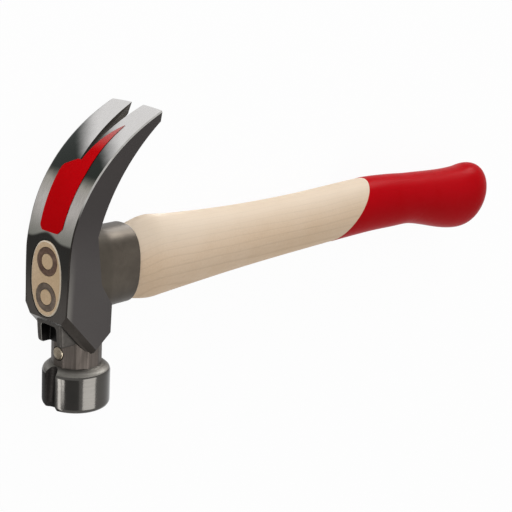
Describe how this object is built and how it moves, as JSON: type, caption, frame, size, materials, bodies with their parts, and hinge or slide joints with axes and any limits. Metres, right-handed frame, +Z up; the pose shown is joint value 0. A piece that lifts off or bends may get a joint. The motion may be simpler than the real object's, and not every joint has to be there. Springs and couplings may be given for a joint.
{
  "type": "curved claw hammer",
  "caption": "Curved claw hammer: forged steel head with split claw, round poll, magnetic nail starter and adze eye on a hickory handle with a dipped grip",
  "frame": {"origin": "middle of the underside of the bounding box, the hammer lying on its far cheek side", "axes": "+X along the handle from the head to the butt, +Y across the head from the striking face to the claw, +Z up out of the near cheek"},
  "size_m": [0.3446, 0.1346, 0.0326],
  "materials": {
    "dark_forged_steel": "dark satin cheeks and neck, polished claw face and bell",
    "magnet_nickel": "nickel plated disc magnet",
    "hickory": "pale lacquered hickory with fine straight grain",
    "red_dip_coat": "smooth glossy red dip coat",
    "wedge_steel": "dark steel ring wedges driven flush",
    "red_label": "plain red film label, left blank"
  },
  "bodies": {
    "root": {"hammer_head": "dark_forged_steel", "nail_magnet": "magnet_nickel", "handle": "hickory", "grip_coat": "red_dip_coat", "ring_wedge_upper": "wedge_steel", "ring_wedge_lower": "wedge_steel", "claw_label": "red_label"}
  },
  "joints": []
}
